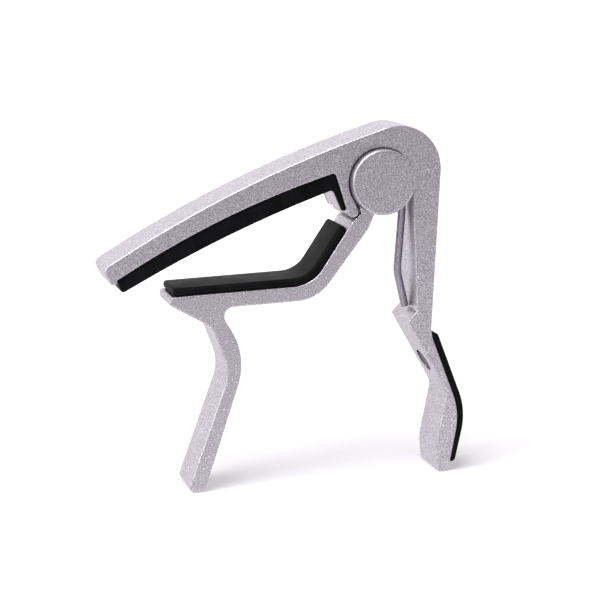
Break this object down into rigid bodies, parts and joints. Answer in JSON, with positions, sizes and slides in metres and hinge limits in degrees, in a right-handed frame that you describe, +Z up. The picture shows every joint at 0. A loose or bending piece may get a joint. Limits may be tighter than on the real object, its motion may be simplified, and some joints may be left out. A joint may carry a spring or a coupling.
{
  "type": "guitar capo",
  "caption": "Spring-loaded trigger guitar capo: hinged jaws with rubber pads and two squeeze handles.",
  "frame": {"origin": "on the floor under the middle of the capo's length and depth, the jaws closed", "axes": "+X from the jaw tip to the rear handle, +Y along the pivot pin to the back, +Z up"},
  "size_m": [0.0878, 0.0174, 0.0853],
  "materials": {
    "casting": "satin",
    "pad_rubber": "matte",
    "rivet_steel": "satin",
    "pin_steel": "satin",
    "bearing_plastic": "matte",
    "spring_steel": "polished"
  },
  "bodies": {
    "frame": {"frame": "casting", "string_pad": "pad_rubber", "thumb_grip": "pad_rubber", "grip_rivet": "rivet_steel", "front_washer": "bearing_plastic", "back_washer": "bearing_plastic", "torsion_spring": "spring_steel"},
    "lower_arm": {"lower_arm": "casting", "neck_pad": "pad_rubber", "pivot_pin": "pin_steel", "spring_sleeve": "bearing_plastic"}
  },
  "joints": [
    {"name": "jaw_hinge", "type": "hinge", "parent": "frame", "child": "lower_arm", "pos_m": [0.02216, 0, 0.0723], "axis": [0, -1, 0], "range_deg": [0, 35], "stiffness_Nm_per_rad": 1.2, "springref_deg": -22.92, "deforming": ["torsion_spring"]}
  ]
}
